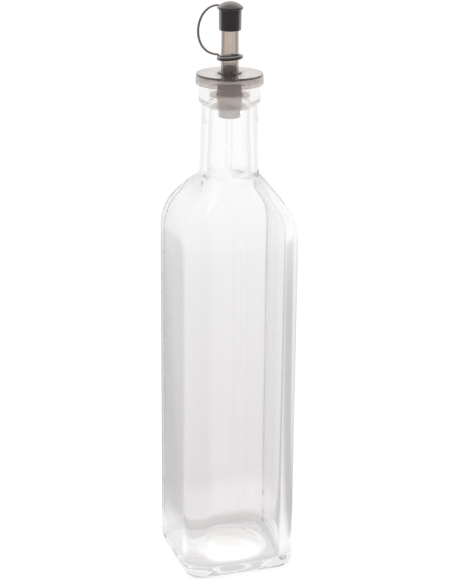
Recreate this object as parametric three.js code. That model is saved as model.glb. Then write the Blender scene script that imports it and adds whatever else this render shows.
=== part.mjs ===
// A square glass bottle for oil or vinegar, with a press-in pourer.
// Millimetres, +Z up, the origin in the middle of the face that the bottle stands on.
// From the bottom up: the bottle, a soft finned stopper in its neck, a tinted pourer whose cover
// sits over the lip, an insert that holds a thin air tube, and a cap on a strap with a loose ring.

import * as THREE from "three";
import { ParametricGeometry } from "three/addons/geometries/ParametricGeometry.js";

// ---- Driving dimensions ----

const FIT_GAP = 0.3; // between pieces that touch

// Bottle body
const SIDE = 58; // across the flat sides
const BODY_TOP = 176.4; // where the upright sides end and the shoulder begins
const UPRIGHT_CORNER_R = 9;
const HEEL_R = 6;
const WALL = 2.6;
const FLOOR = 8; // height of the inside floor
const INNER_HEEL_R = 8;
const FLOOR_CORNER_R = 13; // the inside floor is almost round
const PUNT_R = 19; // round hollow under the base
const PUNT_DEPTH = 3.5;

// Shoulder and neck
const SHOULDER_BEND_R = 31; // bend from the upright side into the slope
const SHOULDER_SLOPE = THREE.MathUtils.degToRad(33); // slope away from upright
const SHOULDER_RIDGE = 4; // how much the corners sharpen half-way up the slope
const NECK_ROOT_R = 6.1; // fillet from the slope into the neck
const NECK_FOOT_R = 14.7;
const NECK_TOP_R = 13.6;
const NECK_WALL = 3.5;
const NECK_HEIGHT = 45.2; // from the end of the fillet to the lip
const COLLAR_R = 15.1;
const COLLAR_HEIGHT = 11;
const BORE_R = 10.2;
const BORE_DEPTH = 23; // straight length of the bore

// Pourer
const COVER_WALL = 1.3;
const COVER_PLATE = 1.2;
const COVER_SKIRT = 4; // reach of the skirt below the plate
const SPOUT_FOOT_R = 4.35;
const SPOUT_TIP_R = 4.1;
const SPOUT_HEIGHT = 30; // above the cover
const SPOUT_BORE_R = 3.4;
const BOSS_STEP = 1.55; // low step round the foot of the spout
const BOSS_HEIGHT = 0.6;
const STEM_R = 4.7;
const STEM_LENGTH = 13; // below the plate

// Stopper
const SLEEVE_WALL = 1;
const FIN_GAP = 0.3; // between a fin's edge and the bore
const FIN_THICKNESS = 0.8;
const FIN_DEPTHS = [7.6, 13.6]; // below the lip
const HEAD_DISC = 0.8; // thickness of the disc on the lip
const NOSE_WALL = 1; // of the narrower nose below the stem
const NOSE_STEP = 0.7; // how much narrower the nose is than the sleeve
const NOSE_LENGTH = 7;

// Air tube and the insert that holds it
const TUBE_R = 1.6;
const TUBE_BORE_R = 1.1;
const TUBE_BELOW_LIP = 44.3;
const TUBE_BELOW_TIP = 3; // end of the tube below the tip of the spout
const HUB_WALL = 0.65;
const RIB_COUNT = 4;
const RIB_ANGLE = THREE.MathUtils.degToRad(24);
const INSERT_HEIGHT = 9;
const INSERT_ABOVE_COVER = 3.3;

// Cap, strap and ring
const CAP_WALL = 0.95;
const CAP_REACH = 9.4; // how far the cap comes down over the spout
const CAP_TOP = 1.2; // thickness between the spout's tip and the brim's edge
const BRIM_OVERHANG = 0.9;
const DOME_HEIGHT = 2.8;
const PLUG_WALL = 0.9; // ring inside the cap that seals the spout
const PLUG_LENGTH = 2.6;
const STRAP_ANGLE = THREE.MathUtils.degToRad(135); // heading of the strap around the spout
const STRAP_THICKNESS = 1.1;
const STRAP_HANDLES = [[13.2, -1.6], [15.2, -0.9]]; // pull of the curve outwards and up, top and bottom
const RING_PLAY = 0.55; // between the ring and the foot of the spout
const RING_WIDTH = 1.5;
const RING_HEIGHT = 1.9;
const RING_ABOVE_COVER = 7.4;
const RING_TILT = THREE.MathUtils.degToRad(5.5);

// Facets
const PER_CORNER = 8; // facets in each quarter of the bottle
const ROUND_FACETS = 36;
const TUBE_FACETS = 20;

// ---- Helpers ----

// Points of a circular arc in a profile: centre, radius, and the angles it runs between.
function arc(r, z, radius, from, to, steps) {
  return Array.from({ length: steps + 1 }, (_, i) => {
    const angle = from + ((to - from) * i) / steps;
    return [r + radius * Math.cos(angle), z + radius * Math.sin(angle)];
  });
}

// A solid of revolution about +Z from a profile of [radius, height] points.
function turned(profile, facets = ROUND_FACETS) {
  const points = profile.map(([r, z]) => new THREE.Vector2(r, z));
  return new THREE.LatheGeometry(points, facets).rotateX(Math.PI / 2);
}

// The same for a hollow piece, whose profile closes on itself.
function turnedHollow(profile, facets = ROUND_FACETS) {
  return turned([...profile, profile[0]], facets);
}

function piece(name, geometry, look) {
  const mesh = new THREE.Mesh(geometry, new THREE.MeshStandardMaterial(look));
  mesh.name = name;
  return mesh;
}

// ---- Bottle ----

// A level section of the bottle is a rounded square: half its width, its corner radius, its height.
const section = (half, corner, height) => ({ half, corner: Math.min(corner, half), height });
const roundSection = ([radius, height]) => section(radius, radius, height);

// Shoulder from the upright side to the foot of the neck: a bend, a straight slope and a fillet.
function shoulder(half, corner, bendR, rootR, neckR) {
  const sine = Math.sin(SHOULDER_SLOPE);
  const cosine = Math.cos(SHOULDER_SLOPE);
  const slopeStart = half - bendR * (1 - cosine);
  const slopeEnd = neckR + rootR * (1 - cosine);
  const slopeHeight = ((slopeStart - slopeEnd) / sine) * cosine;
  const foot = BODY_TOP + bendR * sine + slopeHeight + rootR * sine;
  const outline = [
    ...arc(half - bendR, BODY_TOP, bendR, 0, SHOULDER_SLOPE, 6),
    ...arc(neckR + rootR, foot, rootR, Math.PI + SHOULDER_SLOPE, Math.PI, 4),
  ];
  return outline.map(([width, height]) => {
    const share = (half - width) / (half - neckR);
    const rounding = corner + (neckR - corner) * share ** 3;
    const ridge = SHOULDER_RIDGE * 4 * share * (1 - share);
    return section(width, Math.max(rounding - ridge, 1), height);
  });
}

const outerShoulder = shoulder(SIDE / 2, UPRIGHT_CORNER_R, SHOULDER_BEND_R, NECK_ROOT_R, NECK_FOOT_R);
const innerShoulder = shoulder(
  SIDE / 2 - WALL,
  UPRIGHT_CORNER_R - WALL,
  SHOULDER_BEND_R - WALL,
  NECK_ROOT_R + WALL,
  NECK_FOOT_R - NECK_WALL,
);
const NECK_FOOT = outerShoulder.at(-1).height;
const LIP = NECK_FOOT + NECK_HEIGHT;
const COLLAR_FOOT = LIP - COLLAR_HEIGHT;

// Fillet from a level floor into the upright sides, while the corner rounding changes along with it.
function heel(half, corner, floorCorner, radius, floor) {
  return arc(half - radius, floor + radius, radius, -Math.PI / 2, 0, 4).map(([width, height]) =>
    section(width, corner + ((floorCorner - corner) * (half - width)) / radius, height),
  );
}

function glassBottle() {
  const punt = [0, 0.35, 0.7, 1].map((share) => [PUNT_R * share, PUNT_DEPTH * (1 - share ** 2)]);
  const lipRound = 0.9;
  const collarEase = 0.6;
  const finish = [
    [NECK_TOP_R, COLLAR_FOOT - collarEase],
    [COLLAR_R - collarEase, COLLAR_FOOT - collarEase / 2],
    [COLLAR_R, COLLAR_FOOT + collarEase],
    ...arc(COLLAR_R - lipRound, LIP - lipRound, lipRound, 0, Math.PI / 2, 3),
    ...arc(BORE_R + lipRound, LIP - lipRound, lipRound, Math.PI / 2, Math.PI, 3),
    [BORE_R, LIP - BORE_DEPTH],
  ];
  const rings = [
    ...punt.map(roundSection),
    ...heel(SIDE / 2, UPRIGHT_CORNER_R, UPRIGHT_CORNER_R - HEEL_R, HEEL_R, 0),
    ...outerShoulder,
    ...finish.map(roundSection),
    ...innerShoulder.reverse(),
    ...heel(SIDE / 2 - WALL, UPRIGHT_CORNER_R - WALL, FLOOR_CORNER_R, INNER_HEEL_R, FLOOR).reverse(),
    roundSection([0, FLOOR]),
  ];
  const around = 4 * PER_CORNER;
  const halfStep = Math.PI / around;
  const surface = (u, v, target) => {
    const { half, corner, height } = rings[Math.round(v * (rings.length - 1))];
    const angle = 2 * halfStep * (Math.round(u * around) % around) + halfStep;
    const radius = corner / Math.cos(halfStep);
    const x = Math.sign(Math.cos(angle)) * (half - corner) + radius * Math.cos(angle);
    const y = Math.sign(Math.sin(angle)) * (half - corner) + radius * Math.sin(angle);
    target.set(x, y, height);
  };
  return piece("glass_bottle", new ParametricGeometry(surface, around, rings.length - 1), {
    color: 0xeef3f1,
    roughness: 0.05,
    metalness: 0,
  });
}

// ---- Stopper and pourer ----

const HEAD_BOTTOM = LIP + FIT_GAP;
const PLATE_BOTTOM = HEAD_BOTTOM + HEAD_DISC + FIT_GAP;
const COVER_TOP = PLATE_BOTTOM + COVER_PLATE;
const COVER_R = COLLAR_R + FIT_GAP + COVER_WALL;
const SPOUT_TIP = COVER_TOP + SPOUT_HEIGHT;
const STEM_END = PLATE_BOTTOM - STEM_LENGTH;
const SLEEVE_BORE_R = STEM_R + FIT_GAP;
const SLEEVE_R = SLEEVE_BORE_R + SLEEVE_WALL;
const SLEEVE_STEP = STEM_END - FIT_GAP;
const NOSE_R = SLEEVE_R - NOSE_STEP;

function stopperSleeve() {
  const finR = BORE_R - FIN_GAP;
  const finRoot = 0.5; // extra half thickness where a fin leaves the sleeve
  const fin = (depth, rootR) => [
    [rootR, LIP - depth - FIN_THICKNESS / 2 - finRoot],
    [finR, LIP - depth - FIN_THICKNESS / 2],
    [finR, LIP - depth + FIN_THICKNESS / 2],
    [rootR, LIP - depth + FIN_THICKNESS / 2 + finRoot],
  ];
  const noseEnd = SLEEVE_STEP - NOSE_LENGTH;
  const noseLip = 1.5;
  const headR = COLLAR_R - 1.9;
  const [upperFin, lowerFin] = FIN_DEPTHS;
  const profile = [
    [NOSE_R - NOSE_WALL, noseEnd],
    [NOSE_R, noseEnd],
    [NOSE_R + noseLip / 6, noseEnd + noseLip / 2],
    [NOSE_R, noseEnd + noseLip],
    ...fin(lowerFin, NOSE_R),
    [NOSE_R, SLEEVE_STEP],
    [SLEEVE_R, SLEEVE_STEP + 0.5],
    ...fin(upperFin, SLEEVE_R),
    [SLEEVE_R, HEAD_BOTTOM],
    [headR, HEAD_BOTTOM],
    [headR, HEAD_BOTTOM + HEAD_DISC],
    [SLEEVE_BORE_R, HEAD_BOTTOM + HEAD_DISC],
    [SLEEVE_BORE_R, SLEEVE_STEP],
    [NOSE_R - NOSE_WALL, SLEEVE_STEP],
  ];
  return piece("stopper_sleeve", turnedHollow(profile), { color: 0xd9d4cc, roughness: 0.45, metalness: 0 });
}

function pourerBody() {
  const topEase = 0.8; // rounding of the cover's upper edge
  const flare = 0.4; // the skirt widens by this much towards its lower edge
  const skirtEnd = PLATE_BOTTOM - COVER_SKIRT;
  const tipEase = 0.3;
  const bossDraft = 0.2;
  const profile = [
    [SPOUT_BORE_R, STEM_END],
    [STEM_R, STEM_END],
    [STEM_R, PLATE_BOTTOM],
    [COLLAR_R + FIT_GAP, PLATE_BOTTOM],
    [COLLAR_R + FIT_GAP, skirtEnd],
    [COVER_R - topEase, skirtEnd],
    [COVER_R, skirtEnd + topEase],
    ...arc(COVER_R - flare - topEase, COVER_TOP - topEase, topEase, 0, Math.PI / 2, 3),
    [SPOUT_FOOT_R + BOSS_STEP, COVER_TOP],
    [SPOUT_FOOT_R + BOSS_STEP - bossDraft, COVER_TOP + BOSS_HEIGHT],
    [SPOUT_FOOT_R, COVER_TOP + BOSS_HEIGHT],
    [SPOUT_TIP_R, SPOUT_TIP - tipEase],
    [SPOUT_TIP_R - tipEase, SPOUT_TIP],
    [SPOUT_BORE_R, SPOUT_TIP],
  ];
  return piece("pourer_body", turnedHollow(profile), { color: 0x7a6c62, roughness: 0.15, metalness: 0 });
}

// A hub around the air tube with ribs that reach the wall of the spout, and oil ways between them.
function tubeCarrier() {
  const hubR = TUBE_R + FIT_GAP + HUB_WALL;
  const ribR = SPOUT_BORE_R - FIT_GAP;
  const outline = new THREE.Shape();
  for (let i = 0; i < RIB_COUNT; i += 1) {
    const middle = (2 * Math.PI * i) / RIB_COUNT;
    const next = middle + (2 * Math.PI) / RIB_COUNT;
    outline.absarc(0, 0, ribR, middle - RIB_ANGLE / 2, middle + RIB_ANGLE / 2, false);
    outline.absarc(0, 0, hubR, middle + RIB_ANGLE / 2, next - RIB_ANGLE / 2, false);
  }
  outline.closePath();
  outline.holes.push(new THREE.Path().absarc(0, 0, TUBE_R + FIT_GAP, 0, 2 * Math.PI, true));
  const body = new THREE.ExtrudeGeometry(outline, { depth: INSERT_HEIGHT, bevelEnabled: false, curveSegments: 6 });
  body.translate(0, 0, COVER_TOP + INSERT_ABOVE_COVER - INSERT_HEIGHT);
  return piece("tube_carrier", body, { color: 0x4d423c, roughness: 0.3, metalness: 0 });
}

function breatherTube() {
  const top = SPOUT_TIP - TUBE_BELOW_TIP;
  const bottom = LIP - TUBE_BELOW_LIP;
  const profile = [[TUBE_BORE_R, bottom], [TUBE_R, bottom], [TUBE_R, top], [TUBE_BORE_R, top]];
  return piece("breather_tube", turnedHollow(profile, TUBE_FACETS), { color: 0xe6e8e6, roughness: 0.1, metalness: 0 });
}

// ---- Cap, strap and ring ----

const CAP_MOUTH = SPOUT_TIP - CAP_REACH;
// The spout is a little wider at the mouth of the cap than at its tip, and the cap clears it there.
const spoutAtMouth = SPOUT_TIP_R + ((SPOUT_FOOT_R - SPOUT_TIP_R) * CAP_REACH) / SPOUT_HEIGHT;
const CAP_BORE_R = spoutAtMouth + FIT_GAP;
const CAP_R = CAP_BORE_R + CAP_WALL;
const CAP_CEILING = SPOUT_TIP + FIT_GAP;
const BRIM_R = CAP_R + BRIM_OVERHANG;
const BRIM_EDGE = CAP_CEILING + CAP_TOP;
const RING_BORE_R = SPOUT_FOOT_R + RING_PLAY;
const RING_R = RING_BORE_R + RING_WIDTH;
const RING_CENTRE = COVER_TOP + RING_ABOVE_COVER;

function cap() {
  const mouthEase = 0.5;
  const groove = 0.25;
  const edge = 0.3; // half the thickness of the brim's rounded edge
  const plugR = SPOUT_BORE_R - FIT_GAP;
  const domeR = (BRIM_R ** 2 + DOME_HEIGHT ** 2) / (2 * DOME_HEIGHT);
  const domeRim = Math.asin((domeR - DOME_HEIGHT) / domeR);
  const profile = [
    [0, CAP_CEILING],
    [plugR - PLUG_WALL, CAP_CEILING],
    [plugR - PLUG_WALL, CAP_CEILING - PLUG_LENGTH],
    [plugR - 0.2, CAP_CEILING - PLUG_LENGTH],
    [plugR, CAP_CEILING - PLUG_LENGTH + 0.5],
    [plugR, CAP_CEILING],
    [CAP_BORE_R, CAP_CEILING],
    [CAP_BORE_R, CAP_MOUTH],
    [CAP_R - mouthEase, CAP_MOUTH],
    [CAP_R, CAP_MOUTH + mouthEase],
    [CAP_R, BRIM_EDGE - 4 * edge],
    [CAP_R - groove, BRIM_EDGE - 3 * edge],
    [BRIM_R - 2 * edge, BRIM_EDGE - 2 * edge],
    [BRIM_R, BRIM_EDGE - edge],
    ...arc(0, BRIM_EDGE + DOME_HEIGHT - domeR, domeR, domeRim, Math.PI / 2, 5).slice(0, -1),
    [0, BRIM_EDGE + DOME_HEIGHT],
  ];
  return piece("cap", turned(profile), { color: 0x342d2c, roughness: 0.55, metalness: 0 });
}

function tetherRing() {
  const ease = 0.5;
  const half = RING_HEIGHT / 2;
  const profile = [
    [RING_BORE_R, -half],
    [RING_R - ease, -half],
    [RING_R, ease - half],
    [RING_R, half - ease],
    [RING_R - ease, half],
    [RING_BORE_R, half],
  ];
  const ring = piece("tether_ring", turnedHollow(profile), { color: 0x342d2c, roughness: 0.55, metalness: 0 });
  // It hangs a little lower on the side of the strap.
  const hinge = new THREE.Vector3(-Math.sin(STRAP_ANGLE), Math.cos(STRAP_ANGLE), 0);
  ring.quaternion.setFromAxisAngle(hinge, RING_TILT);
  ring.position.z = RING_CENTRE;
  return ring;
}

// One round strand that bows outwards, from the edge of the brim down to the edge of the ring.
function tetherStrap() {
  const outwards = new THREE.Vector3(Math.cos(STRAP_ANGLE), Math.sin(STRAP_ANGLE), 0);
  const at = (reach, height) => outwards.clone().multiplyScalar(reach).setZ(height);
  const top = [BRIM_R + FIT_GAP, BRIM_EDGE + STRAP_THICKNESS / 2];
  const ringTop = RING_CENTRE + RING_HEIGHT / 2 - RING_R * Math.sin(RING_TILT);
  const bottom = [RING_R + FIT_GAP, ringTop + STRAP_THICKNESS / 2];
  const [topPull, bottomPull] = STRAP_HANDLES;
  const route = new THREE.CubicBezierCurve3(
    at(...top),
    at(top[0] + topPull[0], top[1] + topPull[1]),
    at(bottom[0] + bottomPull[0], bottom[1] + bottomPull[1]),
    at(...bottom),
  );
  const strand = new THREE.Shape();
  for (let i = 0; i < 8; i += 1) {
    const angle = (Math.PI / 4) * (i + 0.5);
    const point = [Math.cos(angle), Math.sin(angle)].map((share) => (share * STRAP_THICKNESS) / 2);
    if (i === 0) strand.moveTo(...point);
    else strand.lineTo(...point);
  }
  strand.closePath();
  const body = new THREE.ExtrudeGeometry(strand, { steps: 18, bevelEnabled: false, extrudePath: route });
  return piece("tether_strap", body, { color: 0x342d2c, roughness: 0.55, metalness: 0 });
}

// ---- Assembly ----

const bottle = new THREE.Group();
const stopper = new THREE.Group();
stopper.add(stopperSleeve(), pourerBody(), tubeCarrier(), breatherTube());
const closure = new THREE.Group();
closure.add(cap(), tetherStrap(), tetherRing());
bottle.add(glassBottle(), stopper, closure);

export default bottle;
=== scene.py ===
# %% [markdown]
# # A square glass bottle with a press-in pourer
# This lesson gives a imported CAD model its looks. The CAD model fixes every size, place and joint, and it
# is made of coarse facets. Glass bends light at each facet, so a faceted bottle would glitter like a
# lantern. Each piece is therefore made again as a fine smooth surface in the same place, and all but the
# strap move with the same body.

# %% Load the imported model
import math

import bpy
import numpy as np
from mathutils import Matrix, Vector


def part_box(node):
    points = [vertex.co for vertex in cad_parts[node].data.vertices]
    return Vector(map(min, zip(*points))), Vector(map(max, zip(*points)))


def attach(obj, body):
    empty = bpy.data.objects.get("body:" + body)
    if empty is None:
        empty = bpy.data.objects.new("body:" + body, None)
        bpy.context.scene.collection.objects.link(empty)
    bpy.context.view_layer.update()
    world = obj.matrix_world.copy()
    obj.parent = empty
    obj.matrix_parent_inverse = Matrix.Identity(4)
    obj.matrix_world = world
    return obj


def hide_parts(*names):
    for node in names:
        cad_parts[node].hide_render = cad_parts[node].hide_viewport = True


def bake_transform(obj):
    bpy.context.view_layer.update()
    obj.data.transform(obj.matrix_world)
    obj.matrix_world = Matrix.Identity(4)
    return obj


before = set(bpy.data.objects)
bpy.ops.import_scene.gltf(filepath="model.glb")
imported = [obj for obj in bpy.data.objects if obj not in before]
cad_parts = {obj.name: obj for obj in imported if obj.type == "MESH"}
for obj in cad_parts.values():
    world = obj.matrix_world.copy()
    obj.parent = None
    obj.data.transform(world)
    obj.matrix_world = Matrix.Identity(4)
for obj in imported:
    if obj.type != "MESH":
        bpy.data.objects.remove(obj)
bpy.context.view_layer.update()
MM = 0.001

# %% [markdown]
# ## Profiles
# Almost every piece of a bottle is turned: blown in a round mould or moulded round a core. So a profile,
# which is the outline of half a cut through the piece, says nearly everything. Moulded edges are never
# knife sharp. Corners are given as plain points, each with its own fillet, and one function works the
# fillets out.


# %% Round the corners of a profile
def rounded(corners, closed=False, steps=6):
    """Fillet each corner (r, z, fillet). Half the angle at the corner is h: the fillet leaves each side
    at fillet / tan(h) from the corner, its centre is fillet / sin(h) away, and its points turn evenly
    round it."""
    points = np.array([corner[:2] for corner in corners], float)
    count = len(points)
    out = []
    for i, corner in enumerate(corners):
        here = points[i]
        if corner[2] == 0 or (not closed and i in (0, count - 1)):
            out.append(here[None, :])
            continue
        before, after = points[i - 1] - here, points[(i + 1) % count] - here
        reach = 0.49 * min(np.linalg.norm(before), np.linalg.norm(after))
        before, after = before / np.linalg.norm(before), after / np.linalg.norm(after)
        half = math.acos(np.clip(before @ after, -1, 1)) / 2
        setback = min(corner[2] / math.tan(half), reach)
        radius = setback * math.tan(half)
        middle = (before + after) / np.linalg.norm(before + after)
        centre = here + middle * radius / math.sin(half)
        start, stop = here + before * setback - centre, here + after * setback - centre
        turn = math.pi - 2 * half
        share = np.linspace(0, 1, steps + 1)[:, None]
        arc = (np.sin((1 - share) * turn) * start + np.sin(share * turn) * stop) / math.sin(turn)
        out.append(centre + arc)
    return np.vstack(out)


def filled(profile, step, closed=False):
    """Add points along the straight stretches, so that no span is longer than the step."""
    ends = np.vstack([profile, profile[:1]]) if closed else profile
    spans = np.linalg.norm(np.diff(ends, axis=0), axis=1)
    parts = [
        np.linspace(a, b, max(int(np.ceil(span / step)), 1), endpoint=False)
        for a, b, span in zip(ends[:-1], ends[1:], spans)
        if span > 1e-7
    ]
    return np.vstack(parts if closed else parts + [ends[-1:]])


# %% [markdown]
# ## From a grid of points to a mesh
# A surface here is a grid: rows run along the profile and columns run round the piece. Where a row lies
# on the axis all its points fall together, and merging them closes the pole. The signed volume tells
# which way the faces look, so a shape that came out inside out is turned at once.


# %% Make a closed mesh from a grid
def shell(name, grid, closed):
    """Join a rows x columns grid into quads, round the columns always and along the rows if it is closed.
    Volume is a sixth of the sum of a . (b x c) over the triangles, and is negative if the faces look
    inwards."""
    rows, columns = grid.shape[:2]
    index = np.arange(rows * columns).reshape(rows, columns)
    across = np.roll(index, -1, axis=1)
    last = rows if closed else rows - 1
    corners = [index, across, np.roll(across, -1, axis=0), np.roll(index, -1, axis=0)]
    quads = np.stack([corner[:last] for corner in corners], axis=-1).reshape(-1, 4)
    points = grid.reshape(-1, 3)
    triangles = points[np.vstack([quads[:, [0, 1, 2]], quads[:, [0, 2, 3]]])]
    volume = np.einsum("ij,ij->", triangles[:, 0], np.cross(triangles[:, 1], triangles[:, 2])) / 6
    if volume < 0:
        quads = quads[:, ::-1]
    # Points on the axis fall together, so each becomes its row's first point.
    on_axis = np.repeat(np.ptp(grid, axis=1).max(axis=1) < 1e-9, columns)
    first = np.repeat(index[:, 0], columns)
    owner = np.where(on_axis, first, np.arange(rows * columns))
    quads = owner[quads]
    kept, renamed = np.unique(quads, return_inverse=True)
    faces = [tuple(dict.fromkeys(face)) for face in renamed.reshape(-1, 4).tolist()]
    mesh = bpy.data.meshes.new(name)
    mesh.from_pydata(points[kept].tolist(), [], [face for face in faces if len(face) > 2])
    mesh.polygons.foreach_set("use_smooth", np.ones(len(mesh.polygons), bool))
    mesh.update()
    piece = bpy.data.objects.new(name, mesh)
    bpy.context.scene.collection.objects.link(piece)
    print(f"{name}: {len(mesh.polygons)} faces, {abs(volume) * 1e6:.2f} cm3")
    return piece


def turned(name, profile, closed=True, columns=96, step=0.6 * MM):
    """A solid of revolution: x = r cos a, y = r sin a, z along the profile."""
    profile = filled(profile * MM, step, closed)
    angle = np.linspace(0, 2 * np.pi, columns, endpoint=False)
    r, z = profile[:, :1], profile[:, 1:]
    grid = np.stack([r * np.cos(angle), r * np.sin(angle), z + 0 * angle], axis=-1)
    return shell(name, grid, closed)


# %% [markdown]
# ## The bottle
# The body is blown in a square mould, so a level cut through it is a square with round corners, and
# higher up the corners open out until the neck is round. One formula covers all of it: in every direction
# round the axis it gives the distance to the edge of a rounded square. The wall has two faces, and both
# matter. Light bends at the outside and again at the inside, and the dark lines of clear glass are where
# those bends miss the light.

# %% Sizes of the bottle, in millimetres
_, bottle_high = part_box("glass_bottle")
HALF_SIDE = bottle_high.x / MM
LIP = bottle_high.z / MM
WALL = 2.6
BODY_TOP = 176.4         # where the upright sides end and the shoulder begins
UPRIGHT_CORNER = 9       # outside radius of the uprights
THICK_CORNER = 10.5      # inside radius of the uprights, so the glass is thickest there
HEEL_R, INNER_HEEL_R = 6, 4
SHOULDER_BEND = 31       # bend from the upright side into the slope
SHOULDER_SLOPE = math.radians(33)
SHOULDER_RIDGE = 4       # how much the corners sharpen half-way up the slope
NECK_ROOT, INNER_NECK_ROOT = 6.1, 8.7
NECK_FOOT_R, NECK_TOP_R = 14.7, 13.6
NECK_WALL = 3.5
COLLAR_R, BORE_R = 15.1, 10.2
COLLAR_FOOT = LIP - 11
BORE_END = LIP - 23
LIP_EDGE = 1.1
PUNT_R, PUNT_DEPTH = 19, 3.5
FLOOR = 5.5              # glass under the inside edge; over the punt it rises in a shallow dome
FLOOR_CORNER = 13        # the inside floor is almost round
PILLOW_R, PILLOW_RISE = 20.3, 5
GRID_STEP = 1.5


def edge_distance(angle, half, corner):
    """Distance from the axis to a rounded square. On a flat side it is half / cos a. In a corner it is
    where the ray meets a circle of the corner's radius about (m, m), with m = half - corner."""
    turn = np.abs((angle + np.pi / 4) % (np.pi / 2) - np.pi / 4)
    middle = half - corner
    reach = np.sqrt(np.maximum(corner**2 - (middle * (np.cos(turn) - np.sin(turn))) ** 2, 0))
    on_corner = middle * (np.cos(turn) + np.sin(turn)) + reach
    return np.where(np.tan(turn) * half <= middle, half / np.cos(turn), on_corner)


def columns_round_corners(per_corner):
    """Angles that crowd round the corners: 45 degrees x (0.4 s + 0.6 s^3) from each, with s from -1 to 1."""
    s = np.linspace(-1, 1, per_corner, endpoint=False)
    quarter = np.pi / 4 * (1 + 0.4 * s + 0.6 * s**3)
    return np.concatenate([quarter + turn * np.pi / 2 for turn in range(4)])


# %% Outline of the glass, outside and inside
def upright_and_shoulder(half, bend, root, neck):
    """The two corners of the shoulder: the upright meets the slope, and the slope meets the neck."""
    kink = BODY_TOP + SHOULDER_BEND * math.tan(SHOULDER_SLOPE / 2)
    kink -= (HALF_SIDE - half) * math.tan(SHOULDER_SLOPE / 2)
    foot = kink + (half - neck) / math.tan(SHOULDER_SLOPE)
    return [(half, kink, bend), (neck, foot, root)]


inner_half = HALF_SIDE - WALL
inner_neck = NECK_FOOT_R - NECK_WALL
outside = rounded(
    [(PUNT_R, 0, 1.2), (HALF_SIDE, 0, HEEL_R),
     *upright_and_shoulder(HALF_SIDE, SHOULDER_BEND, NECK_ROOT, NECK_FOOT_R),
     (NECK_TOP_R, COLLAR_FOOT - 0.9, 1.2), (COLLAR_R, COLLAR_FOOT - 0.1, 0.8), (COLLAR_R, LIP, LIP_EDGE),
     (BORE_R, LIP, LIP_EDGE), (BORE_R, BORE_END, 0)],
    steps=14,
)
inner_shoulder = upright_and_shoulder(inner_half, SHOULDER_BEND - WALL, INNER_NECK_ROOT, inner_neck)
inside = rounded(
    [(BORE_R, BORE_END, 0), *inner_shoulder[::-1],
     (inner_half, FLOOR, INNER_HEEL_R), (PILLOW_R + 0.9, FLOOR, 0)],
    steps=14,
)
# The pillow is a shallow dome, steepest at its rim: its height falls with the fourth power of the radius
# as well as with the square.
pillow_r = np.linspace(PILLOW_R, 0, 24)
fall = (pillow_r / PILLOW_R) ** 2
pillow = np.stack([pillow_r, FLOOR + PILLOW_RISE * (1 - 0.55 * fall - 0.45 * fall**2)], axis=1)
inside = np.vstack([inside[1:], pillow])
punt_r = np.linspace(0, PUNT_R - 0.8, 14)
punt = np.stack([punt_r, PUNT_DEPTH * (1 - (punt_r / PUNT_R) ** 2)], axis=1)
shoulder_end = upright_and_shoulder(HALF_SIDE, 0, 0, NECK_FOOT_R)[1][1]
print("the shoulder ends at", round(float(shoulder_end), 1), "mm")


# %% Blow the bottle
def corner_outside(half, height):
    """Corner radius of a level section of the outside, from its half width and its height. Each corner is
    as round as its half width under the collar and above, so the finish of the neck is truly round."""
    share = np.clip((HALF_SIDE - half) / (HALF_SIDE - NECK_FOOT_R), 0, 1)
    ridge = SHOULDER_RIDGE * 4 * share * (1 - share)
    shoulder = UPRIGHT_CORNER + (NECK_FOOT_R - UPRIGHT_CORNER) * share**3 - ridge
    heel = np.interp(half, [0, PUNT_R, HALF_SIDE - HEEL_R, HALF_SIDE], [0, PUNT_R, 3, UPRIGHT_CORNER])
    corner = np.where(height > BODY_TOP / 2, shoulder, heel)
    in_collar = height > COLLAR_FOOT - 3
    return np.where(in_collar, half, np.minimum(corner, half))


def corner_inside(half, height):
    """Corner radius of a level section of the inside, whose floor is almost round."""
    share = np.clip((inner_half - half) / (inner_half - inner_neck), 0, 1)
    ridge = SHOULDER_RIDGE * 4 * share * (1 - share)
    shoulder = THICK_CORNER + (inner_neck - THICK_CORNER) * share**3 - ridge
    widths, corners = [0, PILLOW_R, inner_half - 3, inner_half], [0, PILLOW_R, FLOOR_CORNER, THICK_CORNER]
    heel = np.interp(half, widths, corners)
    return np.minimum(np.maximum(np.where(height > BODY_TOP / 2, shoulder, heel), 1), half)


def blown_bottle():
    """Rows follow the outline, and each row is a rounded square. Glass cools unevenly, so the inner face
    also swings in and out by a few hundredths of a millimetre, as slow waves up the body and round it."""
    angle = columns_round_corners(40)
    outer, inner = filled(np.vstack([punt, outside]), GRID_STEP), filled(inside, GRID_STEP)
    outer_r = edge_distance(angle, outer[:, :1], corner_outside(*outer.T)[:, None])
    inner_r = edge_distance(angle, inner[:, :1], corner_inside(*inner.T)[:, None])
    height = inner[:, 1:]
    in_body = np.clip((BODY_TOP + 20 - height) / 20, 0, 1) * np.clip((height - 14) / 12, 0, 1)
    short_wave = 0.05 * np.sin(height / 17) * np.cos(2 * angle + 0.6)
    long_wave = 0.04 * np.cos(height / 29 + 3 * angle)
    inner_r = inner_r + (short_wave + long_wave) * in_body
    radius = np.vstack([outer_r, inner_r]) * MM
    z = np.concatenate([outer[:, 1], inner[:, 1]])[:, None] * MM
    grid = np.stack([radius * np.cos(angle), radius * np.sin(angle), z + 0 * radius], axis=-1)
    return shell("bottle_glass", grid, closed=False)


bottle_glass = blown_bottle()
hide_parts("glass_bottle")
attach(bottle_glass, "bottle")

# %% [markdown]
# ## The soft stopper
# The stopper is moulded in cloudy soft plastic. Its disc lies on the lip under the cover, two thin fins
# wipe the bore, and a narrower nose hangs below. It is hollow, so its profile closes on itself.

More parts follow.
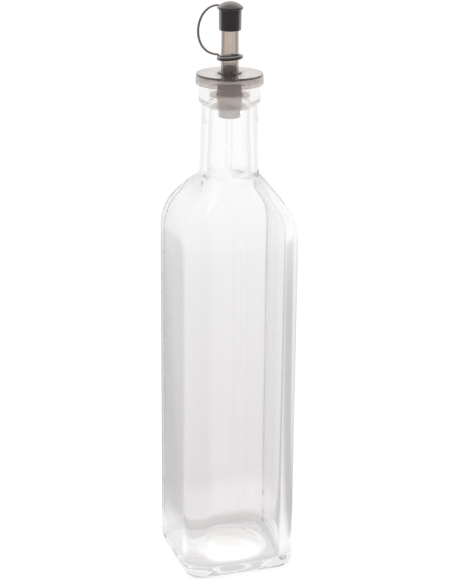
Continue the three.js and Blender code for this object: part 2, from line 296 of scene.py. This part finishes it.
# %% Turn the stopper
nose_low, head_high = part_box("stopper_sleeve")
NOSE_END, HEAD_TOP, HEAD_R = nose_low.z / MM, head_high.z / MM, head_high.x / MM
stem_low, spout_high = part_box("pourer_body")
STEM_END, SPOUT_TIP, COVER_R = stem_low.z / MM, spout_high.z / MM, spout_high.x / MM
GAP = 0.3                # between pieces that touch
STEM_R, SPOUT_BORE_R = 4.7, 3.4
SLEEVE_R, NOSE_R = 6, 5.3
SLEEVE_END = STEM_END - GAP
FIN_R = BORE_R - GAP
FIN_DEPTHS = (7.6, 13.6)  # below the lip


def fin(depth, root):
    """A thin disc with a rounded rim and a small fillet at its root."""
    height = LIP - depth
    return [(root, height - 0.55, 0.5), (FIN_R, height - 0.32, 0.3),
            (FIN_R, height + 0.32, 0.3), (root, height + 0.55, 0.5)]


stopper_profile = rounded(
    [(NOSE_R - 1, NOSE_END, 0.2), (NOSE_R - 0.1, NOSE_END, 0.2), (NOSE_R + 0.25, NOSE_END + 0.75, 0.5),
     (NOSE_R, NOSE_END + 1.5, 0.3), *fin(FIN_DEPTHS[1], NOSE_R), (NOSE_R, SLEEVE_END, 0.2),
     (SLEEVE_R, SLEEVE_END + 0.5, 0.2), *fin(FIN_DEPTHS[0], SLEEVE_R), (SLEEVE_R, LIP + GAP, 0.4),
     (HEAD_R, LIP + GAP, 0.25), (HEAD_R, HEAD_TOP, 0.25), (STEM_R + GAP, HEAD_TOP, 0.3),
     (STEM_R + GAP, SLEEVE_END, 0.2), (NOSE_R - 1, SLEEVE_END, 0.2)],
    closed=True,
)
stopper = turned("soft_stopper", stopper_profile)
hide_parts("stopper_sleeve")
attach(stopper, "stopper")

# %% [markdown]
# ## The pourer
# Spout, cover and stem are one see-through moulding in a smoky tint. The cover is a thin plate with a
# skirt, and its lower edge is full and round, because that is where fingers lift it.

# %% Turn the pourer
PLATE_BOTTOM = HEAD_TOP + GAP
COVER_TOP = PLATE_BOTTOM + 1.2
SKIRT_END = PLATE_BOTTOM - 4
SPOUT_FOOT_R, SPOUT_TIP_R = 4.35, 4.1
BOSS_R, BOSS_TOP = SPOUT_FOOT_R + 1.55, COVER_TOP + 0.6
SKIRT_INSIDE_R = COLLAR_R + GAP
pourer_profile = rounded(
    [(SPOUT_BORE_R, STEM_END, 0.2), (STEM_R, STEM_END, 0.4), (STEM_R, PLATE_BOTTOM, 0.15),
     (SKIRT_INSIDE_R, PLATE_BOTTOM, 0.3), (SKIRT_INSIDE_R, SKIRT_END, 0.3), (COVER_R, SKIRT_END, 0.75),
     (COVER_R - 0.4, COVER_TOP, 0.55), (BOSS_R, COVER_TOP, 0.35), (BOSS_R - 0.2, BOSS_TOP, 0.3),
     (SPOUT_FOOT_R, BOSS_TOP, 0.5), (SPOUT_TIP_R, SPOUT_TIP, 0.3), (SPOUT_BORE_R, SPOUT_TIP, 0.2)],
    closed=True,
)
pourer = turned("spout_and_cover", pourer_profile, columns=192)
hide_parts("pourer_body")
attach(pourer, "pourer")

# %% [markdown]
# ## The insert and the air tube
# A small ribbed hub in the foot of the spout holds a thin tube, which lets air in while oil pours out
# round it. The hub's outline swells into four ribs. That is a radius that changes with the angle, so the
# same kind of grid makes it, with the profile's outer points pushed out to the outline.

# %% Make the ribbed insert
insert_low, insert_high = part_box("tube_carrier")
tube_low, tube_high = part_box("breather_tube")
TUBE_END, TUBE_TOP = tube_low.z / MM, tube_high.z / MM
TUBE_R, TUBE_BORE_R = tube_high.x / MM, 1.1
HUB_R, RIB_R = TUBE_R + GAP + 0.65, insert_high.x / MM


def ribbed_insert():
    """Outer radius = hub + (rib - hub) x a bump. The bump is a smooth step of cos 4a, as wide as a rib."""
    angle = np.linspace(0, 2 * np.pi, 144, endpoint=False)
    rise = np.clip((np.cos(4 * angle) - 0.45) / 0.35, 0, 1)
    bump = rise * rise * (3 - 2 * rise)
    low, high = insert_low.z / MM, insert_high.z / MM
    bore = TUBE_R + GAP
    section = [(0, low, 0.12), (1, low, 0.12), (1, high, 0.12), (0, high, 0.12)]
    profile = filled(rounded(section, closed=True, steps=3), 0.5, closed=True)
    across = profile[:, :1]  # 0 at the bore and 1 at the outline
    radius = (bore + across * (HUB_R + (RIB_R - HUB_R) * bump - bore)) * MM
    z = profile[:, 1:] * MM
    grid = np.stack([radius * np.cos(angle), radius * np.sin(angle), z + 0 * radius], axis=-1)
    return shell("tube_insert", grid, closed=True)


tube_insert = ribbed_insert()
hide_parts("tube_carrier")
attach(tube_insert, "pourer")

# %% Draw the air tube
tube_profile = rounded(
    [(TUBE_BORE_R, TUBE_END, 0.1), (TUBE_R, TUBE_END, 0.15),
     (TUBE_R, TUBE_TOP, 0.15), (TUBE_BORE_R, TUBE_TOP, 0.1)],
    closed=True,
)
air_tube = turned("air_tube", tube_profile, step=1.5 * MM)
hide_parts("breather_tube")
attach(air_tube, "pourer")

# %% [markdown]
# ## Cap, ring and strap
# These three are one soft moulding, whose strap bends. They are separate pieces here, because the ring
# turns round the spout and the cap lifts off. The strap's ends run a little way into the brim and into
# the ring, so the three read as one.

# %% Turn the cap
cap_low, cap_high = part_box("cap")
CAP_MOUTH, CAP_APEX, BRIM_R = cap_low.z / MM, cap_high.z / MM, cap_high.x / MM
CAP_CEILING = SPOUT_TIP + GAP
CAP_R = BRIM_R - 0.9
CAP_BORE_R = CAP_R - 0.95
PLUG_R = SPOUT_BORE_R - GAP
PLUG_WALL, PLUG_END = 0.9, CAP_CEILING - 2.6
BRIM_EDGE = CAP_CEILING + 1.2
cap_side = rounded(
    [(0, CAP_CEILING, 0), (PLUG_R - PLUG_WALL, CAP_CEILING, 0.2), (PLUG_R - PLUG_WALL, PLUG_END, 0.2),
     (PLUG_R, PLUG_END, 0.4), (PLUG_R, CAP_CEILING, 0.15), (CAP_BORE_R, CAP_CEILING, 0.2),
     (CAP_BORE_R, CAP_MOUTH, 0.2), (CAP_R - 0.1, CAP_MOUTH, 0.45), (CAP_R, BRIM_EDGE - 1.3, 0.2),
     (CAP_R - 0.25, BRIM_EDGE - 0.95, 0.25), (BRIM_R - 0.15, BRIM_EDGE - 0.75, 0.3),
     (BRIM_R, BRIM_EDGE, 0)],
)
# The top is part of a ball, whose radius follows from the dome's width and height.
dome_height = CAP_APEX - BRIM_EDGE
dome_r = (BRIM_R**2 + dome_height**2) / (2 * dome_height)
dome_angle = np.linspace(math.asin((dome_r - dome_height) / dome_r), math.pi / 2, 16)
cap_dome = np.stack(
    [dome_r * np.cos(dome_angle), BRIM_EDGE + dome_height - dome_r + dome_r * np.sin(dome_angle)], axis=1
)
cap_dome[-1, 0] = 0
spout_cap = turned("spout_cap", np.vstack([cap_side, cap_dome[1:]]), closed=False)
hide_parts("cap")
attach(spout_cap, "cap")

# %% Make the loose ring and tip it towards its strap
ring_low, ring_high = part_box("tether_ring")
RING_CENTRE = (ring_low.z + ring_high.z) / 2 / MM
RING_TILT = math.radians(5.5)
STRAP_HEADING = math.radians(135)
RING_BORE_R, RING_R, RING_HALF = SPOUT_FOOT_R + 0.55, SPOUT_FOOT_R + 2.05, 0.95
ring_profile = rounded(
    [(RING_BORE_R, -RING_HALF, 0.45), (RING_R, -RING_HALF, 0.75),
     (RING_R, RING_HALF, 0.75), (RING_BORE_R, RING_HALF, 0.45)],
    closed=True,
)
loose_ring = turned("loose_ring", ring_profile, step=0.3 * MM)
hinge = Vector((-math.sin(STRAP_HEADING), math.cos(STRAP_HEADING), 0))
loose_ring.data.transform(
    Matrix.Translation((0, 0, RING_CENTRE * MM)) @ Matrix.Rotation(RING_TILT, 4, hinge)
)
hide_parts("tether_ring")
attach(loose_ring, "ring")


# %% Bow the strap
def strap():
    """A closed tube along a cubic curve in the upright plane of its heading. The tangent t lies in that
    plane, so the section's two axes are the plane's normal and t turned by a right angle. The width grows
    at both ends, where the strap runs into the brim and into the ring, and the last sections shrink to
    round the tips off."""
    ring_top = RING_CENTRE + RING_HALF - RING_R * math.sin(RING_TILT)
    top = np.array([BRIM_R + GAP, BRIM_EDGE + 0.55])
    bottom = np.array([RING_R + GAP, ring_top + 0.55])
    handles = [top, top + (13.2, -1.6), bottom + (15.2, -0.9), bottom]
    t = np.linspace(0, 1, 90)[:, None]
    weights = [(1 - t) ** 3, 3 * t * (1 - t) ** 2, 3 * t**2 * (1 - t), t**3]
    route = sum(weight * handle for weight, handle in zip(weights, handles))
    # Run both ends on, towards the brim and the ring.
    into_cap = np.linspace([BRIM_R - 0.9, BRIM_EDGE - 0.05], top, 10, endpoint=False)
    into_ring = np.linspace([RING_R - 0.7, ring_top - 0.35], bottom, 10, endpoint=False)[::-1]
    route = np.vstack([into_cap, route, into_ring])
    tangent = np.gradient(route, axis=0)
    tangent /= np.linalg.norm(tangent, axis=1, keepdims=True)
    across = np.stack([-tangent[:, 1], tangent[:, 0]], axis=1)
    share = np.linspace(-1, 1, len(route))[:, None]
    thickness = 0.5 - 0.06 * share**8
    width = 0.62 + 0.55 * np.abs(share) ** 14
    tip = np.sqrt(np.clip((1 - np.abs(share)) / 0.03, 0, 1))
    angle = np.linspace(0, 2 * np.pi, 24, endpoint=False)
    # A rounded rectangle: sine and cosine raised to a power below one fill out the corners of an ellipse.
    side = np.sign(np.cos(angle)) * np.abs(np.cos(angle)) ** 0.7 * width * tip
    lift = np.sign(np.sin(angle)) * np.abs(np.sin(angle)) ** 0.7 * thickness * tip
    reach = route[:, :1] + lift * across[:, :1]
    z = route[:, 1:] + lift * across[:, 1:]
    x = reach * math.cos(STRAP_HEADING) - side * math.sin(STRAP_HEADING)
    y = reach * math.sin(STRAP_HEADING) + side * math.cos(STRAP_HEADING)
    length = np.linalg.norm(np.diff(route, axis=0), axis=1).sum()
    print("the strap is", round(float(length), 1), "mm long")
    return shell("cap_strap", np.stack([x, y, z], axis=-1) * MM, closed=False), ring_top


cap_strap, strap_foot = strap()
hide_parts("tether_strap")
(strap_foot + 1.2) * MM
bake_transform(cap_strap)

# %% [markdown]
# ## Finishes
# A finish is written as arithmetic. A small class wraps a shader socket, so that writing 1 - dust * 0.3
# adds its own Math nodes. Colours are mixed with a Mix node, because Math nodes turn them grey. All
# patterns read Object coordinates. Those are metres here, so a scale of 500 means detail 2 mm across.


# %% A value that does its own arithmetic
class Value:
    """One output socket of a finish. Adding, multiplying and so on makes a Math node for the result."""

    def __init__(self, finish, socket):
        self.finish, self.socket = finish, socket

    def _maths(self, operation, a, b):
        return self.finish.add("ShaderNodeMath", {"operation": operation}, {0: a, 1: b})

    def __add__(self, other):
        return self._maths("ADD", self, other)

    def __sub__(self, other):
        return self._maths("SUBTRACT", self, other)

    def __rsub__(self, other):
        return self._maths("SUBTRACT", other, self)

    def __mul__(self, other):
        return self._maths("MULTIPLY", self, other)

    def __abs__(self):
        return self.finish.add("ShaderNodeMath", {"operation": "ABSOLUTE"}, {0: self})

    __radd__, __rmul__ = __add__, __mul__

    def step(self, low, high):
        """0 below low, 1 above high, and smooth between. With low above high it falls instead."""
        settings = {"interpolation_type": "SMOOTHSTEP"}
        sockets = {"Value": self, "From Min": low, "From Max": high}
        return self.finish.add("ShaderNodeMapRange", settings, sockets)


class Finish:
    """A material under construction, with one Principled shader."""

    def __init__(self, name, **sockets):
        self.material = bpy.data.materials.new(name)
        self.material.use_nodes = True
        self.nodes, self.links = self.material.node_tree.nodes, self.material.node_tree.links
        self.shader = next(n for n in self.nodes if n.type == "BSDF_PRINCIPLED")
        self.output = next(n for n in self.nodes if n.type == "OUTPUT_MATERIAL")
        self.place = self.add("ShaderNodeTexCoord", output="Object")
        self.feed(self.shader, sockets)

    def feed(self, node, sockets):
        for key, value in sockets.items():
            target = node.inputs[key.replace("_", " ") if isinstance(key, str) else key]
            if isinstance(value, Value):
                self.links.new(value.socket, target)
            else:
                target.default_value = value

    def add(self, kind, settings=None, sockets=None, output=0):
        """Make a node. Its settings go in first, because some of them change its sockets."""
        node = self.nodes.new(kind)
        for key, value in (settings or {}).items():
            setattr(node, key, value)
        self.feed(node, sockets or {})
        return Value(self, node.outputs[output])

    def set(self, **sockets):
        self.feed(self.shader, sockets)

    def noise(self, scale, detail=2.0, roughness=0.5, stretch=(1, 1, 1)):
        """Cloudy values about 0.5. A stretch below 1 draws the pattern out along that axis."""
        place = self.add("ShaderNodeMapping", {}, {"Vector": self.place, "Scale": stretch})
        sockets = {"Vector": place, "Scale": scale, "Detail": detail, "Roughness": roughness}
        return self.add("ShaderNodeTexNoise", {}, sockets)

    def coordinate(self, axis):
        """The place along X, Y or Z (0, 1 or 2) in metres. Z is the height above the table."""
        return self.add("ShaderNodeSeparateXYZ", {}, {"Vector": self.place}, output=axis)

    def from_axis(self):
        """Distance from the upright axis in metres: the length of (x, y, 0)."""
        flat = self.add("ShaderNodeVectorMath", {"operation": "MULTIPLY"}, {0: self.place, 1: (1, 1, 0)})
        return self.add("ShaderNodeVectorMath", {"operation": "LENGTH"}, {0: flat}, output=1)

    def above(self, low, high):
        """A zone by height, in millimetres: 0 below low and 1 above high. Swapped, it lies below."""
        return self.coordinate(2).step(low * MM, high * MM)

    def beyond(self, near, far):
        """A zone by distance from the axis, in millimetres: 1 beyond far. Swapped, it lies inside."""
        return self.from_axis().step(near * MM, far * MM)

    def edge_on(self, low, high):
        """Rises as the surface turns edge-on, between two values of its Fresnel reflectance."""
        ior = self.shader.inputs["IOR"].default_value
        return self.add("ShaderNodeFresnel", {}, {"IOR": ior}).step(low, high)

    def normal_height(self):
        """How far a face looks up: 1 for level faces, 0 for upright ones and -1 for undersides."""
        facing = self.add("ShaderNodeNewGeometry", output=1)
        return self.add("ShaderNodeSeparateXYZ", {}, {"Vector": facing}, output=2)

    def flatness(self, low, high):
        """1 for level faces and 0 for upright ones: a step of the square of the normal's height."""
        level = self.normal_height()
        return (level * level).step(low, high)

    def mix(self, share, first, second):
        """A colour between two colours. Sockets 0, 6 and 7 are the share and the two colours."""
        node = self.nodes.new("ShaderNodeMix")
        node.data_type = "RGBA"
        for index, value in ((0, share), (6, first), (7, second)):
            if isinstance(value, Value):
                self.links.new(value.socket, node.inputs[index])
            else:
                node.inputs[index].default_value = (*value, 1) if index else value
        return Value(self, node.outputs[2])

    def bump(self, *layers):
        """Stack height patterns, each (height, depth in metres). Their sum drives one Bump node."""
        total = None
        for height, depth in layers:
            total = height * depth if total is None else total + height * depth
        sockets = {"Height": total * (1 / MM), "Distance": MM, "Strength": 1.0}
        self.set(Normal=self.add("ShaderNodeBump", {}, sockets))

    def absorb(self, colour, density):
        """Colour that deepens with the thickness the light goes through."""
        volume = self.nodes.new("ShaderNodeVolumeAbsorption")
        volume.inputs["Color"].default_value = (*colour, 1)
        volume.inputs["Density"].default_value = density
        self.links.new(volume.outputs[0], self.output.inputs["Volume"])

    def put_on(self, *pieces):
        for piece in pieces:
            piece.data.materials.clear()
            piece.data.materials.append(self.material)


# %% [markdown]
# ### Clear glass
# Soda glass bends light by 1.52 and takes a little of it. Its colour carries painted light and shade: grey
# edge-on and at the neck's edges, greyer low down, at the heel and round the collar, and paler at the
# shoulder and the base. The surface is polished by fire, so its flaws are soft: slow ripples from the
# mould, faint smears from hands, a little dust.

# %% Clear glass
def clear_glass():
    glass = Finish("clear_glass", IOR=1.52, Transmission_Weight=1.0)
    smear = glass.noise(38, 4, 0.6, (1, 1, 0.45)).step(0.52, 0.78)
    specks = glass.noise(1900, 1, 0.4).step(0.74, 0.8)
    bands = glass.noise(30, 2, 0.5, (1, 1, 0.10)).step(0.36, 0.64)
    # Painted shade: the glass is painted grey where it turns edge-on.
    edge_shade = glass.edge_on(0.05, 0.75)
    # Painted light and shade by height: darker low down and at the heel, paler at the shoulder and the base.
    lower_body_shade = glass.above(210, 10)
    shoulder = glass.above(160, 195)
    base = glass.above(34, 22)
    heel = glass.above(11, 5)
    # Painted shade at the neck's edges and round the collar.
    neck_edge_shade = glass.edge_on(0.043, 0.12) * glass.above(196, 204)
    collar = glass.above(COLLAR_FOOT - 3.1, COLLAR_FOOT - 1.1) * (1 - edge_shade)
    tone = glass.mix(lower_body_shade, (0.952, 0.947, 0.946), (0.872, 0.861, 0.860))
    tone = glass.mix(bands * 0.3, tone, (0.87, 0.862, 0.861))
    tone = glass.mix(smear * 0.3, tone, (0.91, 0.905, 0.905))
    tone = glass.mix(shoulder * 0.8, tone, (0.978, 0.974, 0.974))
    tone = glass.mix(edge_shade, tone, (0.36, 0.355, 0.355))
    tone = glass.mix(base * 0.8, tone, (0.97, 0.965, 0.962))
    tone = glass.mix(heel * 0.78, tone, (0.66, 0.65, 0.645))
    tone = glass.mix(neck_edge_shade, tone, (0.84, 0.83, 0.83))
    tone = glass.mix(collar, tone, (0.91, 0.89, 0.88))
    # The punt is painted clear white, as painted light, and a little darker in its middle, as painted shade.
    punt = glass.beyond(PUNT_R + 2.5, PUNT_R) * glass.above(16, 14)
    punt_shading = glass.mix(glass.beyond(13, 6), (1, 1, 1), (0.90, 0.89, 0.885))
    glass.set(
        Base_Color=glass.mix(punt, tone, punt_shading),
        Roughness=smear * 0.035 + specks * 0.12,
    )
    ripple = glass.noise(26, 1, 0.4, (1, 1, 0.35))
    orange_peel = glass.noise(210, 2, 0.5)
    glass.bump((ripple, 3e-5), (orange_peel, 5e-7))
    glass.absorb((0.84, 0.86, 0.855), 6)
    return glass


clear_glass().put_on(bottle_glass)


# %% [markdown]
# ### Plastics
# The pourer is hard see-through plastic: a smoky brown that deepens in thick places, with fine scratches
# from washing, and painted light and shade on it. The stopper is soft and cloudy. Cap, strap and ring
# are dark and satin, with the fine grain of a blasted mould and a little dust. They are painted paler on
# top, as painted light, and have a painted sheen edge-on.

# %% Smoky see-through plastic
def smoke_plastic():
    plastic = Finish("smoke_plastic", IOR=1.49, Transmission_Weight=1.0)
    plastic.set(Coat_Weight=0.6, Coat_Roughness=0.03)
    haze = plastic.noise(320, 3, 0.6).step(0.45, 0.75)
    scratch = plastic.noise(1500, 2, 0.5, (1, 1, 0.25)).step(0.70, 0.76)
    # Painted light and shade: level faces, like the cover's flat, are painted pale and upright ones darker.
    # The spout is warm, and its foot and stem are painted dark, as painted shade.
    spout = plastic.above(COVER_TOP + 0.29, COVER_TOP + 2.79)
    foot = plastic.above(COVER_TOP - 0.41, COVER_TOP + 0.59)
    foot *= plastic.above(COVER_TOP + 4.99, COVER_TOP + 3.59)
    stem = plastic.above(PLATE_BOTTOM + 0.19, PLATE_BOTTOM - 0.81) * plastic.beyond(8, 6)
    tone = plastic.mix(plastic.flatness(0.3, 0.8), (0.74, 0.685, 0.65), (0.985, 0.97, 0.965))
    # Painted shade: behind the skirt, the gap over the lip holds no glass to light it.
    gap_shade = plastic.above(LIP - 2, LIP - 0.9) * plastic.above(PLATE_BOTTOM + 0.8, PLATE_BOTTOM + 0.2)
    gap_shade *= plastic.beyond(14, 15) * plastic.flatness(0.8, 0.3)
    tone = plastic.mix(gap_shade * 0.35, tone, (0.36, 0.31, 0.28))
    tone = plastic.mix(spout, tone, (0.735, 0.665, 0.62))
    tone = plastic.mix(foot, tone, (0.42, 0.35, 0.31))
    tone = plastic.mix(stem, tone, (0.27, 0.205, 0.17))
    # Painted shade: the spout's edge-on faces are painted darker.
    spout_edge_shade = plastic.edge_on(0.040, 0.080) * plastic.beyond(8, 6)
    tone = plastic.mix(spout_edge_shade, tone, (0.36, 0.30, 0.27))
    plastic.set(
        Base_Color=plastic.mix(haze * 0.06, tone, (0.7, 0.66, 0.62)),
        Roughness=haze * 0.01 + scratch * 0.01 + 0.006,
    )
    plastic.bump((haze, 2e-7))
    plastic.absorb((0.333, 0.222, 0.144), 110)
    return plastic


# %% Cloudy soft plastic
def milky_plastic():
    plastic = Finish("milky_plastic", IOR=1.46, Transmission_Weight=0.25)
    cloud = plastic.noise(420, 3, 0.6).step(0.35, 0.7)
    tone = plastic.mix(cloud, (0.99, 0.95, 0.925), (0.94, 0.895, 0.86))
    # What is inside is painted on the sleeve, as painted shade: a warm tint at the stem's end, and dark
    # higher up.
    sleeve = plastic.beyond(SLEEVE_R + 1.5, SLEEVE_R + 0.5)
    stem_inside = plastic.above(STEM_END - 1.01, STEM_END + 0.39) * sleeve
    insert_inside = plastic.above(STEM_END + 3.19, STEM_END + 4.59) * sleeve
    tone = plastic.mix(stem_inside, tone, (0.99, 0.895, 0.84))
    tone = plastic.mix(insert_inside, tone, (0.34, 0.262, 0.228))
    # The disc and the fins are so thin that they are nearly clear.
    thin = plastic.beyond(SLEEVE_R + 0.2, SLEEVE_R + 1)
    disc = plastic.above(LIP - 1.61, LIP - 0.61)
    plastic.set(
        Base_Color=tone,
        Roughness=cloud * 0.14 + 0.32,
        Alpha=1 - thin * (disc * 0.32 + 0.6),
    )
    plastic.bump((plastic.noise(700, 2, 0.5), 8e-6))
    return plastic


# %% Dark insert plastic
def dark_insert():
    plastic = Finish("dark_insert", IOR=1.5, Transmission_Weight=0.15)
    mottle = plastic.noise(900, 2, 0.5)
    plastic.set(
        Base_Color=plastic.mix(mottle, (0.18, 0.135, 0.112), (0.24, 0.185, 0.155)),
        Roughness=mottle * 0.15 + 0.22,
    )
    plastic.bump((mottle, 6e-6))
    return plastic


# %% Clear tube plastic
def clear_plastic():
    plastic = Finish("clear_plastic", IOR=1.47, Transmission_Weight=1.0)
    drawn = plastic.noise(240, 1, 0.5, (1, 1, 0.02))
    tone = plastic.mix(drawn, (1, 1, 1), (0.985, 0.985, 0.98))
    # Painted shade: the tube's edge-on faces are painted darker.
    plastic.set(
        Base_Color=plastic.mix(plastic.edge_on(0.05, 0.35), tone, (0.55, 0.53, 0.52)),
        Roughness=drawn * 0.01,
    )
    return plastic


# %% Charcoal satin plastic
def charcoal_plastic(name, dark, lit_top_colour, roughness):
    """One plastic in three copies with their own painted light: each is painted paler on top, the ring
    shines, and the strap is painted pale all over.
    """
    plastic = Finish(name, IOR=1.48, Specular_IOR_Level=0.32)
    tone = plastic.noise(160, 3, 0.55)
    grain = plastic.noise(3200, 2, 0.5)
    dust = plastic.noise(1400, 2, 0.55).step(0.66, 0.82)
    # Painted light: faces that look up are painted paler, towards the lit-top colour.
    lit_top = plastic.normal_height().step(0.05, 0.95) * (tone * 0.5 + 0.75)
    colour = plastic.mix(tone, dark, [c * 1.6 for c in dark])
    colour = plastic.mix(lit_top, colour, lit_top_colour)
    # Painted sheen: edge-on faces are painted paler.
    colour = plastic.mix(plastic.edge_on(0.040, 0.095) * 0.75, colour, (0.24, 0.215, 0.215))
    plastic.set(
        Base_Color=plastic.mix(dust * 0.25, colour, (0.17, 0.155, 0.145)),
        Roughness=tone * 0.14 + grain * 0.08 + roughness,
    )
    plastic.bump((grain, 6e-6), (tone, 1e-5))
    return plastic


smoke_plastic().put_on(pourer)
milky_plastic().put_on(stopper)
dark_insert().put_on(tube_insert)
clear_plastic().put_on(air_tube)
charcoal_plastic("charcoal_cap", (0.007, 0.0052, 0.0052), (0.080, 0.070, 0.068), 0.22).put_on(spout_cap)
charcoal_plastic("charcoal_ring", (0.012, 0.0095, 0.009), (0.20, 0.185, 0.175), 0.06).put_on(loose_ring)
# The strap is painted paler than the cap and the ring, as painted light.
charcoal_plastic("charcoal_strap", (0.07, 0.062, 0.058), (0.15, 0.14, 0.13), 0.2).put_on(cap_strap)

# %% [markdown]
# ## Light, floor and camera
# Clear glass is drawn by what it misses. Against a pale floor with light from all round it would vanish,
# so a photographer lets it see something darker: the room beyond the edge of a lit sheet of white paper.
# Here the paper glows, and two flat rings lie on it that only the glass sees. It reflects one, which
# darkens the edges of the neck, the shoulder and the body. It shows the other through itself, which greys
# one side.

# %% Where the camera looks
LOOK = Vector((0.29473, 0.90018, -0.32069))
EYE = Vector((-0.2450, -0.7501, 0.4139))
ROLL = math.radians(0.504)
LENS, SENSOR = 102.8, 36     # millimetres
CAMERA_HEADING = math.atan2(LOOK.y, LOOK.x)

# %% The floor and the room
FLOOR_HALF = 14              # metres
FLOOR_GLOW, MIDDLE_GLOW = 0.90, 1.125
FLOOR_GREY = (0.12, 0.12, 0.12)


def glowing_floor():
    """A sheet of white paper that glows as if lit from below, with a painted pool of light under the bottle.
    """
    corners = [(-FLOOR_HALF, -FLOOR_HALF, 0), (FLOOR_HALF, -FLOOR_HALF, 0),
               (FLOOR_HALF, FLOOR_HALF, 0), (-FLOOR_HALF, FLOOR_HALF, 0)]
    mesh = bpy.data.meshes.new("floor")
    mesh.from_pydata(corners, [], [(0, 1, 2, 3)])
    floor = bpy.data.objects.new("floor", mesh)
    bpy.context.scene.collection.objects.link(floor)
    paper = Finish("floor_paint", Roughness=0.8, Specular_IOR_Level=0.0)
    fibres = paper.noise(3, 2, 0.5)
    around = (FLOOR_GLOW / MIDDLE_GLOW,) * 3
    # Painted pool of light: the glow is strongest within 15 mm of the axis, under the bottle.
    paper.set(
        Base_Color=paper.mix(fibres, FLOOR_GREY, [grey * 0.985 for grey in FLOOR_GREY]),
        Emission_Color=paper.mix(paper.beyond(23, 15), around, (1, 1, 1)),
        Emission_Strength=MIDDLE_GLOW,
    )
    paper.put_on(floor)


def white_room():
    """Light from all round. A path that is cut short in a thick corner turns black, so many bounces."""
    world = bpy.data.worlds.new("studio")
    world.use_nodes = True
    sky = world.node_tree.nodes["Background"].inputs
    sky["Color"].default_value = (1.0, 0.995, 0.99, 1)
    sky["Strength"].default_value = 1.0
    scene = bpy.context.scene
    scene.world = world
    scene.view_settings.view_transform = "Standard"
    paths = scene.cycles
    paths.max_bounces = paths.glossy_bounces = paths.transmission_bounces = 96


glowing_floor()
white_room()

# %% Rings on the table that only the glass sees
WHITE = (1.03, 1.03, 1.03)
GREY_HEADING = CAMERA_HEADING - math.radians(58)
LEFT_HEADING = CAMERA_HEADING + math.radians(50)


def table_sheet(name, near, far, lift, radiance):
    """A flat ring round the bottle that glows by itself, by the distance and the heading."""
    angle = np.linspace(0, 2 * np.pi, 96, endpoint=False)
    r = np.linspace(near, far, 6)[:, None]
    grid = np.stack([r * np.cos(angle), r * np.sin(angle), lift + 0 * r * angle], axis=-1)
    sheet = shell(name, grid, closed=False)
    paint = Finish(name + "_paint", Base_Color=(0, 0, 0, 1), Specular_IOR_Level=0.0, Emission_Strength=1.0)
    x, y = paint.coordinate(0), paint.coordinate(1)
    heading = paint.add("ShaderNodeMath", {"operation": "ARCTAN2"}, {0: y, 1: x})
    paint.set(Emission_Color=radiance(paint, paint.from_axis(), heading))
    paint.put_on(sheet)
    sheet.visible_camera = sheet.visible_shadow = sheet.visible_diffuse = False
    return sheet


def dark_ring(paint, distance, heading):
    """White at the bottle, dark from 75 to 420 mm away, and white again further out."""
    share = distance.step(0.048, 0.075) * distance.step(0.80, 0.42)
    return paint.mix(share, WHITE, (0.45, 0.445, 0.445))


def grey_side(paint, distance, heading):
    """Grey to one side of the bottle, fainter to the other, and white elsewhere."""
    right = abs(heading - GREY_HEADING).step(math.radians(28), math.radians(6)) * distance.step(0.80, 0.40)
    left = abs(heading - LEFT_HEADING).step(math.radians(48), math.radians(26))
    return paint.mix(right + left * 0.2, WHITE, (0.66, 0.655, 0.655))


table_sheet("reflection_sheet", 0.048, 0.85, 0.0006, dark_ring).visible_transmission = False
table_sheet("side_sheet", 0.0485, 0.85, 0.0007, grey_side).visible_glossy = False


# %% Lamps
def softbox(name, heading, elevation, distance, size, power):
    """A square area lamp that looks at the bottle's middle."""
    lamp = bpy.data.lights.new(name, "AREA")
    lamp.shape, lamp.size, lamp.energy = "SQUARE", size, power
    thing = bpy.data.objects.new(name, lamp)
    target = Vector((0, 0, 0.15))
    level = math.cos(elevation)
    away = Vector((math.cos(heading) * level, math.sin(heading) * level, math.sin(elevation)))
    facing = away.to_track_quat("Z", "Y").to_matrix().to_4x4()
    thing.matrix_world = Matrix.Translation(target + away * distance) @ facing
    bpy.context.scene.collection.objects.link(thing)
    return thing


softbox("top_light", CAMERA_HEADING, math.radians(85), 1.6, 2.0, 9).visible_glossy = False
# The glass doesn't show the side lamp, which would leave a white spot on its shoulder.
side_light = softbox("side_light", CAMERA_HEADING + math.radians(130), math.radians(35), 1.2, 0.5, 4)
side_light.visible_glossy = side_light.visible_transmission = False


# %% The camera
def place_camera():
    """The camera looks along a fixed direction through a long lens, rolled by half a degree."""
    lens = bpy.data.cameras.new("camera")
    lens.lens, lens.sensor_width = LENS, SENSOR
    lens.clip_start, lens.clip_end = 0.05, 60
    thing = bpy.data.objects.new("camera", lens)
    turn = LOOK.to_track_quat("-Z", "Y").to_matrix().to_4x4()
    thing.matrix_world = Matrix.Translation(EYE) @ turn @ Matrix.Rotation(ROLL, 4, "Z")
    bpy.context.scene.collection.objects.link(thing)
    bpy.context.scene.camera = thing


place_camera()
